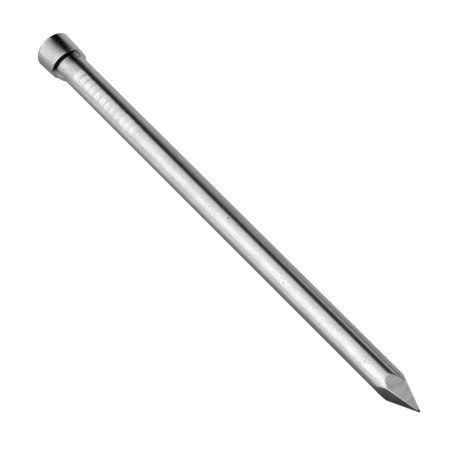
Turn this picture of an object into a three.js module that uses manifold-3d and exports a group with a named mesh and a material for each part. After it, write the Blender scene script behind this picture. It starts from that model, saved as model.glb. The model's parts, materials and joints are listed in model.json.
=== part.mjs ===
// A bright steel lost-head nail, 65 x 3.35 mm, lying on a flat surface.
//
// The whole nail is one length of drawn wire. One end is upset into a small tapered head,
// two gripping dies leave shallow marks below it, and four cutter faces form a diamond point.
// Units are millimetres. A station is a distance along the wire from the struck face of the
// head, and a roll is an angle around the wire in degrees, from +Y towards +Z.

import * as THREE from 'three';
import { mergeVertices } from 'three/addons/utils/BufferGeometryUtils.js';
import Module from 'manifold-3d';

const nailLength = 65;
const shankDiameter = 3.35;
const wireSides = 48;

const headDiameter = 4.53;
const headLowerDiameter = 4.33;
const headSideEnd = 3.05;
const headEdgeRadial = 0.2;
const headEdgeAxial = 0.42;
const headEdgeSteps = 5;
const headOffCentre = 0.1;
const headOffCentreRoll = 206;

const undersideDrop = 0.12;
const undersideSteps = 3;
const undersideLean = 0.16;
const undersideLeanRoll = 211;
const leanStart = 1;
const collarRadial = 0.03;
const collarAxial = 0.15;
const collarSteps = 4;
const collarBlend = 1.2;

const partingFull = 24;
const partingReach = 46;
const partingLines = [
  { roll: 211, collarRadial: 0.24, collarAxial: 1.28 },
  { roll: 31, collarRadial: 0.42, collarAxial: 0.72 },
];

const gripRolls = [127, 307];
const gripStart = 5.9;
const gripPitch = 0.94;
const gripCount = 12;
const gripDepth = 0.042;
const gripHalfAngle = 38;
const ringsPerGrip = 4;

const pointFaces = [
  { roll: 18, halfAngle: 18.8 },
  { roll: 105.5, halfAngle: 15.5 },
  { roll: 180, halfAngle: 16.6 },
  { roll: 262, halfAngle: 19.0 },
];
const restingFace = pointFaces[3];
const pointOvershoot = 0.27;
const pointOffCentre = 0.21;
const pointOffCentreRoll = 99;
const cutterSize = 20;

const steelColour = 0xbcbdbe;
const steelRoughness = 0.28;

const shankRadius = shankDiameter / 2;
const headRadius = headDiameter / 2;
const headLowerRadius = headLowerDiameter / 2;
const collarRadius = shankRadius + collarRadial;
const collarStart = headSideEnd + undersideDrop;
const collarEnd = collarStart + collarAxial;
const gripEnd = gripStart + gripCount * gripPitch;
const flatsToCorners = 1 / Math.cos(Math.PI / wireSides);
const radians = THREE.MathUtils.degToRad;
const smoothstep = THREE.MathUtils.smoothstep;

const wasm = await Module();
wasm.setup();

// A quarter of an ellipse in station and radius, from its radial end to its axial end.
function quarterRound(station, radius, axial, radial, steps) {
  const points = [];
  for (let i = 0; i <= steps; i++) {
    const turn = (Math.PI / 2) * (i / steps);
    points.push(new THREE.Vector2(radius + radial * Math.cos(turn), station + axial * Math.sin(turn)));
  }
  return points;
}

// The rounded edge between the struck face and the side of the head.
function headEdgePoints() {
  const inner = headRadius - headEdgeRadial;
  return quarterRound(headEdgeAxial, inner, -headEdgeAxial, headEdgeRadial, headEdgeSteps).reverse();
}

// The steep underside of the head, and the low collar between it and the wire.
function undersidePoints() {
  const step = headLowerRadius - collarRadius;
  return [
    ...quarterRound(headSideEnd, collarRadius, undersideDrop, step, undersideSteps),
    ...quarterRound(collarStart, shankRadius, collarAxial, collarRadial, collarSteps).slice(1),
  ];
}

// Rings of wire close enough together to carry the grip marks.
function gripPoints() {
  const points = [];
  for (let i = 0; i <= gripCount * ringsPerGrip; i++) {
    points.push(new THREE.Vector2(shankRadius, gripStart + (gripPitch * i) / ringsPerGrip));
  }
  return points;
}

function nailProfile() {
  return [
    new THREE.Vector2(0, 0),
    ...headEdgePoints(),
    new THREE.Vector2((headRadius + headLowerRadius) / 2, (headEdgeAxial + headSideEnd) / 2),
    ...undersidePoints(),
    ...gripPoints(),
    new THREE.Vector2(shankRadius, nailLength),
    new THREE.Vector2(0, nailLength),
  ];
}

// From 1 at a roll to 0 at half an angle beside it.
function nearness(roll, middle, halfAngle) {
  const away = Math.acos(Math.cos(radians(roll - middle)));
  return Math.cos(Math.min(away / radians(halfAngle), 1) * (Math.PI / 2)) ** 2;
}

// Depth of the die marks at one place on the wire: a row of scallops on two opposite sides.
function gripDepthAt(station, roll) {
  if (station < gripStart || station > gripEnd) return 0;
  const scallop = (1 - Math.cos((2 * Math.PI * (station - gripStart)) / gripPitch)) / 2;
  const across = gripRolls.map((gripRoll) => nearness(roll, gripRoll, gripHalfAngle));
  return gripDepth * scallop * Math.max(...across);
}

// The underside of the head leans: its side is shorter towards one roll than opposite it.
function leanAt(station, roll) {
  if (station > collarEnd) return 0;
  const share = smoothstep(station, leanStart, headSideEnd);
  return -undersideLean * share * Math.cos(radians(roll - undersideLeanRoll));
}

// The collar stands out further, and runs further down the wire, where the two dies part.
function shapeUnderside({ station, radius, roll }) {
  if (station < headSideEnd || station > collarEnd) {
    return { station: station + leanAt(station, roll), radius, roll };
  }
  let bulge = 0;
  let stretch = 0;
  for (const line of partingLines) {
    const away = THREE.MathUtils.radToDeg(Math.acos(Math.cos(radians(roll - line.roll))));
    const share = 1 - smoothstep(away, partingFull, partingReach);
    bulge += line.collarRadial * share;
    stretch += line.collarAxial * share;
  }
  if (station > collarStart) {
    const down = (station - collarStart) / collarAxial;
    const out = (radius - shankRadius) / collarRadial;
    const lean = leanAt(station, roll);
    return { station: station + stretch * down + lean, radius: radius + bulge * out, roll };
  }
  const inward = (headLowerRadius - radius) / (headLowerRadius - collarRadius);
  return { station: station + leanAt(station, roll), radius: radius + bulge * inward, roll };
}

// The side of the upset head stands slightly to one side of the wire's axis.
function offCentreAt(station) {
  const rise = smoothstep(station, 0, headEdgeAxial);
  return headOffCentre * rise * (1 - smoothstep(station, collarEnd, collarEnd + collarBlend));
}

// The nail before its point is cut, along +X from the struck face. Its sides touch the round
// wire from outside, so that the flats are the wire's diameter apart.
function wireGeometry() {
  const halfSide = Math.PI / wireSides;
  const geometry = new THREE.LatheGeometry(nailProfile(), wireSides, halfSide);
  geometry.rotateZ(-Math.PI / 2);
  const position = geometry.getAttribute('position');
  for (let i = 0; i < position.count; i++) {
    const ring = { station: position.getX(i), radius: Math.hypot(position.getY(i), position.getZ(i)) };
    const onAxis = ring.radius < 1e-6;
    const turn = onAxis ? 0 : Math.atan2(position.getZ(i), position.getY(i));
    const place = shapeUnderside({ ...ring, roll: THREE.MathUtils.radToDeg(turn) });
    const depth = onAxis ? 0 : gripDepthAt(place.station, place.roll);
    const radius = (place.radius - depth) * flatsToCorners;
    const beside = offCentreAt(place.station);
    const y = radius * Math.cos(turn) + beside * Math.cos(radians(headOffCentreRoll));
    const z = radius * Math.sin(turn) + beside * Math.sin(radians(headOffCentreRoll));
    position.setXYZ(i, place.station, y, z);
  }
  return geometry;
}

// A block whose inner side is one face of the diamond point. All four faces aim at one
// place just beyond the blunt end.
function pointCutter({ roll, halfAngle }) {
  const slope = radians(halfAngle);
  const normal = new THREE.Vector3(
    Math.sin(slope),
    Math.cos(slope) * Math.cos(radians(roll)),
    Math.cos(slope) * Math.sin(radians(roll)),
  );
  const aim = new THREE.Vector3(
    nailLength + pointOvershoot,
    pointOffCentre * Math.cos(radians(pointOffCentreRoll)),
    pointOffCentre * Math.sin(radians(pointOffCentreRoll)),
  );
  const cutter = new THREE.BoxGeometry(cutterSize, cutterSize, cutterSize);
  const turn = new THREE.Quaternion().setFromUnitVectors(new THREE.Vector3(1, 0, 0), normal);
  cutter.applyQuaternion(turn);
  const centre = aim.addScaledVector(normal, cutterSize / 2);
  cutter.translate(centre.x, centre.y, centre.z);
  return cutter;
}

function toSolid(geometry) {
  geometry.deleteAttribute('normal');
  geometry.deleteAttribute('uv');
  const merged = mergeVertices(geometry);
  const vertProperties = new Float32Array(merged.getAttribute('position').array);
  const triVerts = new Uint32Array(merged.index.array);
  return new wasm.Manifold(new wasm.Mesh({ numProp: 3, vertProperties, triVerts }));
}

function toGeometry(solid) {
  const mesh = solid.getMesh();
  const geometry = new THREE.BufferGeometry();
  geometry.setAttribute('position', new THREE.BufferAttribute(mesh.vertProperties, 3));
  geometry.setIndex(new THREE.BufferAttribute(mesh.triVerts, 1));
  geometry.computeVertexNormals();
  return geometry;
}

function nailGeometry() {
  let solid = toSolid(wireGeometry());
  for (const face of pointFaces) {
    solid = solid.subtract(toSolid(pointCutter(face)));
  }
  return toGeometry(solid);
}

// The nail rests on the widest ring of its head and on the heel of its point.
function restTilt() {
  const headDrop = headRadius - headOffCentre * Math.sin(radians(headOffCentreRoll));
  const meetsBeside = pointOffCentre * Math.cos(radians(pointOffCentreRoll - restingFace.roll));
  const pointReach = (shankRadius - meetsBeside) / Math.tan(radians(restingFace.halfAngle));
  const heelStation = nailLength + pointOvershoot - pointReach;
  return Math.atan2(headDrop - shankRadius, heelStation - headEdgeAxial);
}

const steel = new THREE.MeshStandardMaterial({
  color: steelColour,
  roughness: steelRoughness,
  metalness: 1,
});
const nail = new THREE.Mesh(nailGeometry(), steel);
nail.name = 'nail';
nail.rotation.y = restTilt();

const box = new THREE.Box3().setFromObject(nail, true);
const middle = box.getCenter(new THREE.Vector3());
nail.position.set(-middle.x, -middle.y, -box.min.z);

const part = new THREE.Group();
part.add(nail);

export default part;
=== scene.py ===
"""A bright steel lost-head nail, 65 x 3.35 mm, lying on a pale floor under soft studio light.

The nail is one piece of cold-drawn wire. Its mesh is one closed skin, wound round the wire from
the struck face of the head to the blunt end of the point, and each stretch of it is shaped and
finished by the class named for it. Inside this file the nail is worked out in millimetres, along
its own axis: a station is a distance from the struck face, and a roll is an angle round the wire
in degrees, from +Y towards +Z. The last step turns it into the frame's metres.
"""

import json
import logging
import math
from dataclasses import dataclass, field
from enum import Enum
from typing import ClassVar

import bpy
import numpy as np
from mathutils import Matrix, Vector

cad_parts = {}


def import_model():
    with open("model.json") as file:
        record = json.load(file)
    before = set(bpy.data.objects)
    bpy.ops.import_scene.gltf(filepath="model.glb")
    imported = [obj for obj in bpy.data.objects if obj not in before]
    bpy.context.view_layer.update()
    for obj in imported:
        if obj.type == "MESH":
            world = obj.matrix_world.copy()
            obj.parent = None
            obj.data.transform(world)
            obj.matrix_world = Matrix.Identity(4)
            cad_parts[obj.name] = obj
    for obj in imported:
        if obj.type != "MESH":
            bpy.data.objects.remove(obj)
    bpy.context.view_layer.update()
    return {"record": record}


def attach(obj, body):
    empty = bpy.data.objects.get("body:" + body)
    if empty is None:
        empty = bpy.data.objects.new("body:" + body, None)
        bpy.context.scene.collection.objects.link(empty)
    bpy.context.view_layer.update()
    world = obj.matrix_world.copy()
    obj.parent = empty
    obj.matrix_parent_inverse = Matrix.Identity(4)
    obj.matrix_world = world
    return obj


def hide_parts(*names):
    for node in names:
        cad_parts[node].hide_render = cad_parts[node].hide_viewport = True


LOG = logging.getLogger("nail")
MM = 0.001
WIRE_SPACE = "wire_space"
# Mesh values for the lighter edges of the point: rubbed edges, and a painted highlight along the ridges and
# heel.
EDGE_WEAR_AND_HIGHLIGHT = "edge_wear_and_highlight"
GRIP_ZONE = "grip_zone"
# Mesh values for the shade painted into the corner under the head.
PAINTED_SHADE = "painted_shade"
Array = np.ndarray
Socket = bpy.types.NodeSocket
Tree = bpy.types.NodeTree
Fed = Socket | float | None


def smooth_step(value: Array, low: float, high: float) -> Array:
    """Eases from 0 at low to 1 at high.

    Args:
        value: The values to ease.
        low: Where the rise starts.
        high: Where the rise ends.

    Returns:
        An array of the same shape, from 0 to 1.
    """
    share = np.clip((value - low) / (high - low), 0.0, 1.0)
    return share * share * (3.0 - 2.0 * share)


def roll_gap(roll: Array, target: float) -> Array:
    """Gives how far a roll is from another one, the shorter way round.

    Args:
        roll: The rolls, in degrees.
        target: The roll to measure from, in degrees.

    Returns:
        Signed angles from -180 to 180, in degrees.
    """
    return (np.asarray(roll) - target + 180.0) % 360.0 - 180.0


def nearness(roll: Array, middle: float, half_angle: float) -> Array:
    """Gives 1 at a roll, easing to 0 at a given angle beside it.

    Args:
        roll: The rolls, in degrees.
        middle: The roll where the value is 1, in degrees.
        half_angle: How far beside it the value reaches 0, in degrees.

    Returns:
        An array of the same shape, from 0 to 1.
    """
    away = np.clip(np.abs(roll_gap(roll, middle)) / half_angle, 0.0, 1.0)
    return np.cos(away * math.pi / 2) ** 2


def direction(roll: float) -> Array:
    """Gives the direction of a roll across the wire, as Y and Z."""
    return np.array([math.cos(math.radians(roll)), math.sin(math.radians(roll))])


class Surface(Enum):
    """The surfaces of the nail, in the order of its material slots."""

    DRAWN = 0
    UPSET = 1
    SHEARED = 2
    PINCHED = 3


# ---------------------------------------------------------------------------------------------
# Sub-assemblies of the wire. Each one shapes its own stretch.
# ---------------------------------------------------------------------------------------------


@dataclass(frozen=True)
class Shank:
    """The drawn wire between the collar and the point.

    Attributes:
        diameter: Wire diameter, in mm.
        length: Whole length of the nail, in mm.
        row_pitch: Distance between rings of the plain stretch, in mm.
        waviness: How far the drawn wire strays from a true circle, in mm.
        fine_waves: Strength of its fine waves, against the broad ones.
    """

    diameter: float = 3.35
    length: float = 64.999
    row_pitch: float = 0.8
    waviness: float = 0.004
    fine_waves: float = 0.6

    @property
    def radius(self) -> float:
        """Gives the wire's radius, in mm."""
        return self.diameter / 2

    def rows(self, start: float, end: float) -> Array:
        """Spaces the rings of the plain stretch.

        Args:
            start: Station of the first ring, in mm.
            end: Station of the last ring, in mm.

        Returns:
            The rings' stations, in mm.
        """
        count = max(2, round((end - start) / self.row_pitch))
        return np.linspace(start, end, count + 1)

    def sink(self, station: Array, roll: Array) -> Array:
        """Gives how far the drawn surface lies under the true circle.

        Args:
            station: Stations of the places, in mm.
            roll: Rolls of the same places, in degrees.

        Returns:
            Depths, in mm.
        """
        turn = np.radians(roll)
        wave = np.sin(3 * turn + 0.9) + self.fine_waves * np.sin(7 * turn + 0.11 * station)
        highest = 1 + self.fine_waves
        return self.waviness * (highest + wave) / (2 * highest)


@dataclass(frozen=True)
class Head:
    """The upset head: a flat struck face, a rounded edge and a slightly tapered side.

    Attributes:
        diameter: Widest diameter, near the struck face, in mm.
        lower_diameter: Diameter where the side ends, in mm.
        side_end: Station where the side ends, in mm.
        edge_radial: How far the rounded edge reaches in from the side, in mm.
        edge_axial: How far the rounded edge reaches down the side, in mm.
        off_centre: How far the side stands beside the wire's axis, in mm.
        off_centre_roll: Roll towards which it stands, in degrees.
        face_rows: Rings across the struck face.
        edge_rows: Rings round the rounded edge.
        side_rows: Rings down the side.
        face_dish: Depth of the shallow dish in the struck face, in mm.
        face_inset: How far the face's rim stands inside the nail's nominal end, in mm.
    """

    diameter: float = 4.528
    lower_diameter: float = 4.33
    side_end: float = 3.05
    edge_radial: float = 0.2
    edge_axial: float = 0.42
    off_centre: float = 0.1
    off_centre_roll: float = 206.0
    face_rows: int = 14
    edge_rows: int = 14
    side_rows: int = 26
    face_dish: float = 0.03
    face_inset: float = 0.0005

    def profile(self) -> list[tuple[float, float]]:
        """Lists the head's outline from the middle of the struck face down the side.

        Returns:
            Pairs of station and radius, in mm.
        """
        radius = self.diameter / 2
        flat = radius - self.edge_radial
        points = []
        for i in range(1, self.face_rows + 1):
            share = i / (self.face_rows + 1)
            points.append((self.face_inset + self.face_dish * (1 - share**2), flat * share))
        for i in range(self.edge_rows + 1):
            turn = (math.pi / 2) * i / self.edge_rows
            sink = self.edge_radial * (1 - math.sin(turn))
            station = self.face_inset + (self.edge_axial - self.face_inset) * (1 - math.cos(turn))
            points.append((station, radius - sink))
        for i in range(1, self.side_rows):
            share = i / self.side_rows
            station = self.edge_axial + (self.side_end - self.edge_axial) * share
            points.append((station, radius + (self.lower_diameter / 2 - radius) * share))
        return points

    def beside(self, station: Array, collar_end: float, blend: float) -> Array:
        """Gives how far the middle of each ring stands beside the wire's axis.

        Args:
            station: Stations of the rings, in mm.
            collar_end: Station where the collar ends, in mm.
            blend: Length over which the rings come back to the axis, in mm.

        Returns:
            Distances towards the off-centre roll, in mm.
        """
        rise = smooth_step(station, 0, self.edge_axial)
        return self.off_centre * rise * (1 - smooth_step(station, collar_end, collar_end + blend))


@dataclass(frozen=True)
class PartingLine:
    """A place round the wire where the two gripping dies part, and metal flows out between them.

    Attributes:
        roll: Where it runs, in degrees.
        radial: How far the collar stands out there, in mm.
        axial: How much further the collar reaches down the wire there, in mm.
    """

    roll: float
    radial: float
    axial: float


@dataclass(frozen=True)
class Underside:
    """The steep underside of the head, and the low collar between it and the wire.

    Attributes:
        drop: Length of the steep underside, in mm.
        lean: How far the underside leans towards the struck face on one side, in mm.
        lean_roll: Roll of that side, in degrees.
        lean_start: Station down the head's side where the lean starts, in mm.
        collar_radial: How far the collar stands out from the wire, in mm.
        collar_axial: How far it reaches down the wire, in mm.
        blend: Length over which the wire comes back to its own axis, in mm.
        parting_full: How far round from a parting line the collar stands out fully, in degrees.
        parting_reach: How far round it stands out at all, in degrees.
        partings: The two parting lines.
        painted_shade_from: Share of the steep underside that gets no painted shade.
        painted_shade_fade: How fast the shade painted under the head thins out towards a parting line; lower
            is later.
        drop_rows: Rings down the underside.
        collar_rows: Rings down the collar.
    """

    drop: float = 0.12
    lean: float = 0.16
    lean_roll: float = 211.0
    lean_start: float = 1.0
    collar_radial: float = 0.03
    collar_axial: float = 0.15
    blend: float = 1.2
    parting_full: float = 24.0
    parting_reach: float = 46.0
    partings: tuple[PartingLine, ...] = (
        PartingLine(roll=211.0, radial=0.24, axial=1.28),
        PartingLine(roll=31.0, radial=0.42, axial=0.72),
    )
    painted_shade_from: float = 0.2
    painted_shade_fade: float = 0.45
    drop_rows: int = 10
    collar_rows: int = 22

    def collar_end(self, head: Head) -> float:
        """Gives the station where the collar ends, away from the parting lines, in mm."""
        return head.side_end + self.drop + self.collar_axial

    def profile(self, head: Head, shank: Shank) -> list[tuple[float, float]]:
        """Lists the outline from the end of the head's side to the wire.

        Args:
            head: The head above it.
            shank: The wire below it.

        Returns:
            Pairs of station and radius, in mm.
        """
        collar = shank.radius + self.collar_radial
        step = head.lower_diameter / 2 - collar
        start = head.side_end + self.drop
        points = []
        for i in range(self.drop_rows + 1):
            turn = (math.pi / 2) * i / self.drop_rows
            points.append((head.side_end + self.drop * math.sin(turn), collar + step * math.cos(turn)))
        for i in range(1, self.collar_rows + 1):
            share = i / self.collar_rows
            fall = 1 - share**3
            points.append((start + self.collar_axial * share, shank.radius + self.collar_radial * fall))
        return points

    def _flow(self, roll: Array, line: PartingLine) -> Array:
        """Gives how fully the metal flows out beside a parting line, from 0 to 1."""
        return 1 - smooth_step(np.abs(roll_gap(roll, line.roll)), self.parting_full, self.parting_reach)

    def painted_shade(self, station: Array, roll: Array, head: Head) -> Array:
        """Gives how much shade is painted, near black, into the corner under the head.

        Args:
            station: Stations of the places before shaping, in mm.
            roll: Rolls of the same places, in degrees.
            head: The head above the underside.

        Returns:
            Values from 0 to 1.
        """
        clear = np.max([self._flow(roll, line) for line in self.partings], axis=0)
        low = head.side_end + self.drop * self.painted_shade_from
        high = head.side_end + self.drop + self.collar_axial
        return (1 - clear) ** self.painted_shade_fade * ((station > low) & (station <= high))

    def shape(self, station: Array, radius: Array, roll: Array, head: Head,
              shank: Shank) -> tuple[Array, Array]:
        """Leans the underside, and swells the collar along the parting lines.

        Args:
            station: Stations before shaping, in mm.
            radius: Radii before shaping, in mm.
            roll: Rolls of the same places, in degrees.
            head: The head above the underside.
            shank: The wire below it.

        Returns:
            The shaped stations and radii, in mm.
        """
        start = head.side_end + self.drop
        collar = shank.radius + self.collar_radial
        lower = head.lower_diameter / 2
        bulge = sum(line.radial * self._flow(roll, line) for line in self.partings)
        stretch = sum(line.axial * self._flow(roll, line) for line in self.partings)
        under = (station > head.side_end) & (station <= start)
        below = (station > start) & (station <= self.collar_end(head) + 1e-6)
        grown = np.where(under, bulge * (lower - radius) / (lower - collar), 0.0)
        grown = np.where(below, bulge * (radius - shank.radius) / self.collar_radial, grown)
        moved = np.where(below, stretch * (station - start) / self.collar_axial, 0.0)
        leaning = self.lean * smooth_step(station, self.lean_start, head.side_end)
        moved = moved - leaning * np.cos(np.radians(roll - self.lean_roll))
        return station + moved, radius + grown


@dataclass(frozen=True)
class GripMarks:
    """The row of shallow scallops that the gripping dies press into two sides of the wire.

    Attributes:
        rolls: Middles of the two marked sides, in degrees.
        start: Station of the first mark, in mm.
        pitch: Distance from one mark to the next, in mm.
        count: Marks on each side.
        depth: Depth of the deepest mark, in mm.
        least_depth: Depth of the shallowest one, as a share of that.
        half_angle: How far round the wire a mark reaches, in degrees.
        bow: How far a mark's ends curve towards the point, in mm.
        lean: How unevenly deep a mark may be from one end to the other, as a share of its depth.
        misplacing: How far a mark may lie off its place, as a share of the pitch.
        flatness: How flat a mark's floor is; higher is flatter.
        lines_before: How far before the first mark the tooling lines start, in mm.
        lines_reach: How far round the wire they reach, as a share of the marks' own reach.
        rows_per_mark: Rings across one mark.
        seed: Seed for the small differences between marks.
    """

    rolls: tuple[float, float] = (127.0, 307.0)
    start: float = 5.9
    pitch: float = 0.94
    count: int = 12
    depth: float = 0.038
    least_depth: float = 0.55
    half_angle: float = 42.0
    bow: float = 0.16
    lean: float = 0.7
    misplacing: float = 0.05
    flatness: float = 2.8
    lines_before: float = 2.2
    lines_reach: float = 1.4
    rows_per_mark: int = 14
    seed: int = 7

    @property
    def end(self) -> float:
        """Gives the station where the last mark ends, in mm."""
        return self.start + self.count * self.pitch

    def rows(self) -> Array:
        """Gives the stations of the rings that carry the marks, in mm."""
        return np.linspace(self.start, self.end, self.count * self.rows_per_mark + 1)

    def zone(self, station: Array, roll: Array) -> Array:
        """Gives where the dies' fine tooling lines show.

        Args:
            station: Stations of the places, in mm.
            roll: Rolls of the same places, in degrees.

        Returns:
            Values from 0 to 1.
        """
        along = smooth_step(station, self.start - self.lines_before, self.start)
        along = along * (1 - smooth_step(station, self.end, self.end + self.pitch))
        around = [nearness(roll, side, self.lines_reach * self.half_angle) for side in self.rolls]
        return along * np.max(np.broadcast_arrays(*around), axis=0)

    def sink(self, station: Array, roll: Array) -> Array:
        """Gives the marks' depth at each place.

        Each mark has a nearly flat floor and steep ends, so that a low ridge stands between it
        and the next one.

        Args:
            station: Stations of the places, in mm.
            roll: Rolls of the same places, in degrees.

        Returns:
            Depths below the wire's surface, in mm.
        """
        rng = np.random.default_rng(self.seed)
        total = np.zeros(np.broadcast(station, roll).shape)
        for side in self.rolls:
            reach = nearness(roll, side, self.half_angle)
            for i in range(self.count):
                depth = self.depth * rng.uniform(self.least_depth, 1.0)
                place = i + 0.5 + rng.uniform(-self.misplacing, self.misplacing)
                middle = self.start + place * self.pitch
                lean = rng.uniform(-self.lean, self.lean)
                curve = self.bow * (roll_gap(roll, side) / self.half_angle) ** 2
                away = np.clip((station - middle - curve) / (self.pitch * 0.5), -1, 1)
                floor = (1 - np.abs(away) ** self.flatness) * (1 + lean * away)
                total = np.maximum(total, depth * floor * reach)
        return total


@dataclass(frozen=True)
class PointFace:
    """One flat face of the diamond point.

    Attributes:
        roll: Roll that the face looks towards, in degrees.
        half_angle: Angle between the face and the wire's axis, in degrees.
    """

    roll: float
    half_angle: float


@dataclass(frozen=True)
class Point:
    """The diamond point that the cutters leave: four faces that aim at one place.

    Attributes:
        faces: The faces, in order of roll.
        overshoot: How far beyond the blunt end the faces would meet, in mm.
        off_centre: How far the place where they meet stands beside the wire's axis, in mm.
        off_centre_roll: Roll towards which it stands, in degrees.
        blend_start: Station where the mesh starts to wind round that place, in mm.
        crispness: How sharp the ridges and the heel are; higher is sharper.
        pinched_length: Length of the blunt end that the cutters pinched off, which is coloured much darker,
            in mm.
        face_rows: Rings from the faces' heel to the blunt end.
        columns_per_face: Columns of the mesh between two ridges.
        evenness: How evenly they are spaced, from 0, crowded beside the ridges, to 1.
        ridge_wear_and_highlight: From how near to how far from a ridge its rubbing and painted highlight
            fade, in degrees.
        HEEL_ROWS: Rings beside the heel of the faces, in mm from it.
    """

    faces: tuple[PointFace, ...] = (
        PointFace(roll=18.0, half_angle=18.8),
        PointFace(roll=105.5, half_angle=15.5),
        PointFace(roll=180.0, half_angle=16.6),
        PointFace(roll=262.0, half_angle=19.0),
    )
    overshoot: float = 0.27
    off_centre: float = 0.21
    off_centre_roll: float = 99.0
    blend_start: float = 50.0
    crispness: float = 70.0
    pinched_length: float = 0.25
    face_rows: int = 56
    columns_per_face: int = 44
    evenness: float = 0.35
    ridge_wear_and_highlight: tuple[float, float] = (1.0, 5.0)

    HEEL_ROWS: ClassVar[tuple[float, ...]] = (
        -1.0, -0.6, -0.36, -0.22, -0.14, -0.08, -0.04, 0.0, 0.04, 0.08, 0.14, 0.22, 0.36,
    )

    def ridge_rolls(self) -> list[float]:
        """Works out where the ridges between neighbouring faces run.

        Returns:
            The roll of each ridge, after the face of the same index, in degrees.
        """
        rolls = []
        for i, face in enumerate(self.faces):
            other = self.faces[(i + 1) % len(self.faces)]
            normals = np.array([direction(face.roll), direction(other.roll)])
            reach = np.tan(np.radians([face.half_angle, other.half_angle]))
            y, z = np.linalg.solve(normals, reach)
            rolls.append(math.degrees(math.atan2(z, y)) % 360.0)
        return rolls

    def columns(self) -> Array:
        """Gives the mesh's columns, closer together beside each ridge.

        Returns:
            The columns' rolls, in degrees.
        """
        ridges = self.ridge_rolls()
        rolls = []
        for i, ridge in enumerate(ridges):
            span = (ridges[(i + 1) % len(ridges)] - ridge) % 360.0
            for k in range(self.columns_per_face):
                even = k / self.columns_per_face
                crowded = (1 - math.cos(math.pi * even)) / 2
                share = self.evenness * even + (1 - self.evenness) * crowded
                rolls.append(ridge + span * share)
        return np.array(rolls)

    def _slopes(self, roll: Array) -> list[Array]:
        """Works out how fast each face runs in to the place where the faces meet.

        Args:
            roll: Rolls of the places, in degrees.

        Returns:
            Each face's radius for each mm before that place.
        """
        slopes = []
        for face in self.faces:
            facing = np.maximum(np.cos(np.radians(roll - face.roll)), 1e-3)
            slopes.append(math.tan(math.radians(face.half_angle)) / facing)
        return slopes

    def spread(self, roll: Array) -> Array:
        """Gives the point's radius for each mm before the place where its faces meet."""
        return np.min(self._slopes(roll), axis=0)

    def trim(self, station: Array, roll: Array, wire: Array, meet: float) -> Array:
        """Cuts the wire down to the faces, with slightly rounded ridges and heel.

        Args:
            station: Stations of the places, in mm.
            roll: Rolls of the same places, in degrees.
            wire: Radius of the uncut wire there, in mm.
            meet: Station where the faces would meet, in mm.

        Returns:
            The cut radius, in mm.
        """
        before = np.maximum(meet - station, 1e-6)
        total = wire**-self.crispness
        for slope in self._slopes(roll):
            total = total + (before * slope) ** -self.crispness
        return total ** (-1 / self.crispness)

    def ridge_mask(self, roll: Array) -> Array:
        """Gives 1 on a ridge, falling to 0 a few degrees beside it."""
        gaps = [np.abs(roll_gap(roll, ridge)) for ridge in self.ridge_rolls()]
        return 1 - smooth_step(np.min(gaps, axis=0), *self.ridge_wear_and_highlight)


# ---------------------------------------------------------------------------------------------
# Shader groups shared by the finishes.
# ---------------------------------------------------------------------------------------------


def put(tree: Tree, socket: Socket, value: Fed) -> None:
    """Links a socket to another one, or sets its value.

    Args:
        tree: The node tree that holds the socket.
        socket: The input to feed.
        value: A socket, or a plain value.
    """
    if isinstance(value, bpy.types.NodeSocket):
        tree.links.new(value, socket)
    else:
        socket.default_value = value


def add_math(tree: Tree, operation: str, first: Fed, second: Fed = None, third: Fed = None,
             clamp: bool = False) -> Socket:
    """Adds a Math node.

    Args:
        tree: The node tree.
        operation: Name of the operation.
        first: First value or socket.
        second: Second value or socket.
        third: Third value or socket.
        clamp: Whether the result is kept from 0 to 1.

    Returns:
        The node's result.
    """
    node = tree.nodes.new("ShaderNodeMath")
    node.operation = operation
    node.use_clamp = clamp
    for socket, value in zip(node.inputs, (first, second, third)):
        if value is not None:
            put(tree, socket, value)
    return node.outputs["Value"]


def add_noise(tree: Tree, vector: Socket, detail: float, roughness: float) -> Socket:
    """Adds a Noise Texture.

    Args:
        tree: The node tree.
        vector: Where the noise is read.
        detail: How many finer layers it has.
        roughness: How strong the finer layers are.

    Returns:
        The noise, from 0 to 1.
    """
    node = tree.nodes.new("ShaderNodeTexNoise")
    node.inputs["Scale"].default_value = 1.0
    node.inputs["Detail"].default_value = detail
    node.inputs["Roughness"].default_value = roughness
    tree.links.new(vector, node.inputs["Vector"])
    return node.outputs["Fac"]


def add_ramp(tree: Tree, value: Fed, low: Fed, high: Fed, bottom: float = 0.0, top: float = 1.0) -> Socket:
    """Adds a smooth Map Range.

    Args:
        tree: The node tree.
        value: The value to ease.
        low: Where the rise starts.
        high: Where the rise ends.
        bottom: Result at and before low.
        top: Result at and after high.

    Returns:
        The eased value.
    """
    node = tree.nodes.new("ShaderNodeMapRange")
    node.interpolation_type = "SMOOTHSTEP"
    put(tree, node.inputs["Value"], value)
    put(tree, node.inputs["From Min"], low)
    put(tree, node.inputs["From Max"], high)
    node.inputs["To Min"].default_value = bottom
    node.inputs["To Max"].default_value = top
    return node.outputs["Result"]


def add_mix(tree: Tree, factor: Fed, first: Socket | float, second: Socket | float) -> Socket:
    """Adds a colour Mix node.

    Args:
        tree: The node tree.
        factor: Share of the second colour.
        first: First colour, or a grey value.
        second: Second colour, or a grey value.

    Returns:
        The mixed colour.
    """
    node = tree.nodes.new("ShaderNodeMix")
    node.data_type = "RGBA"
    put(tree, node.inputs["Factor"], factor)
    for name, value in (("A", first), ("B", second)):
        socket = next(s for s in node.inputs if s.name == name and s.type == "RGBA")
        put(tree, socket, value if isinstance(value, bpy.types.NodeSocket) else (value,) * 3 + (1.0,))
    return next(s for s in node.outputs if s.type == "RGBA")


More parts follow.
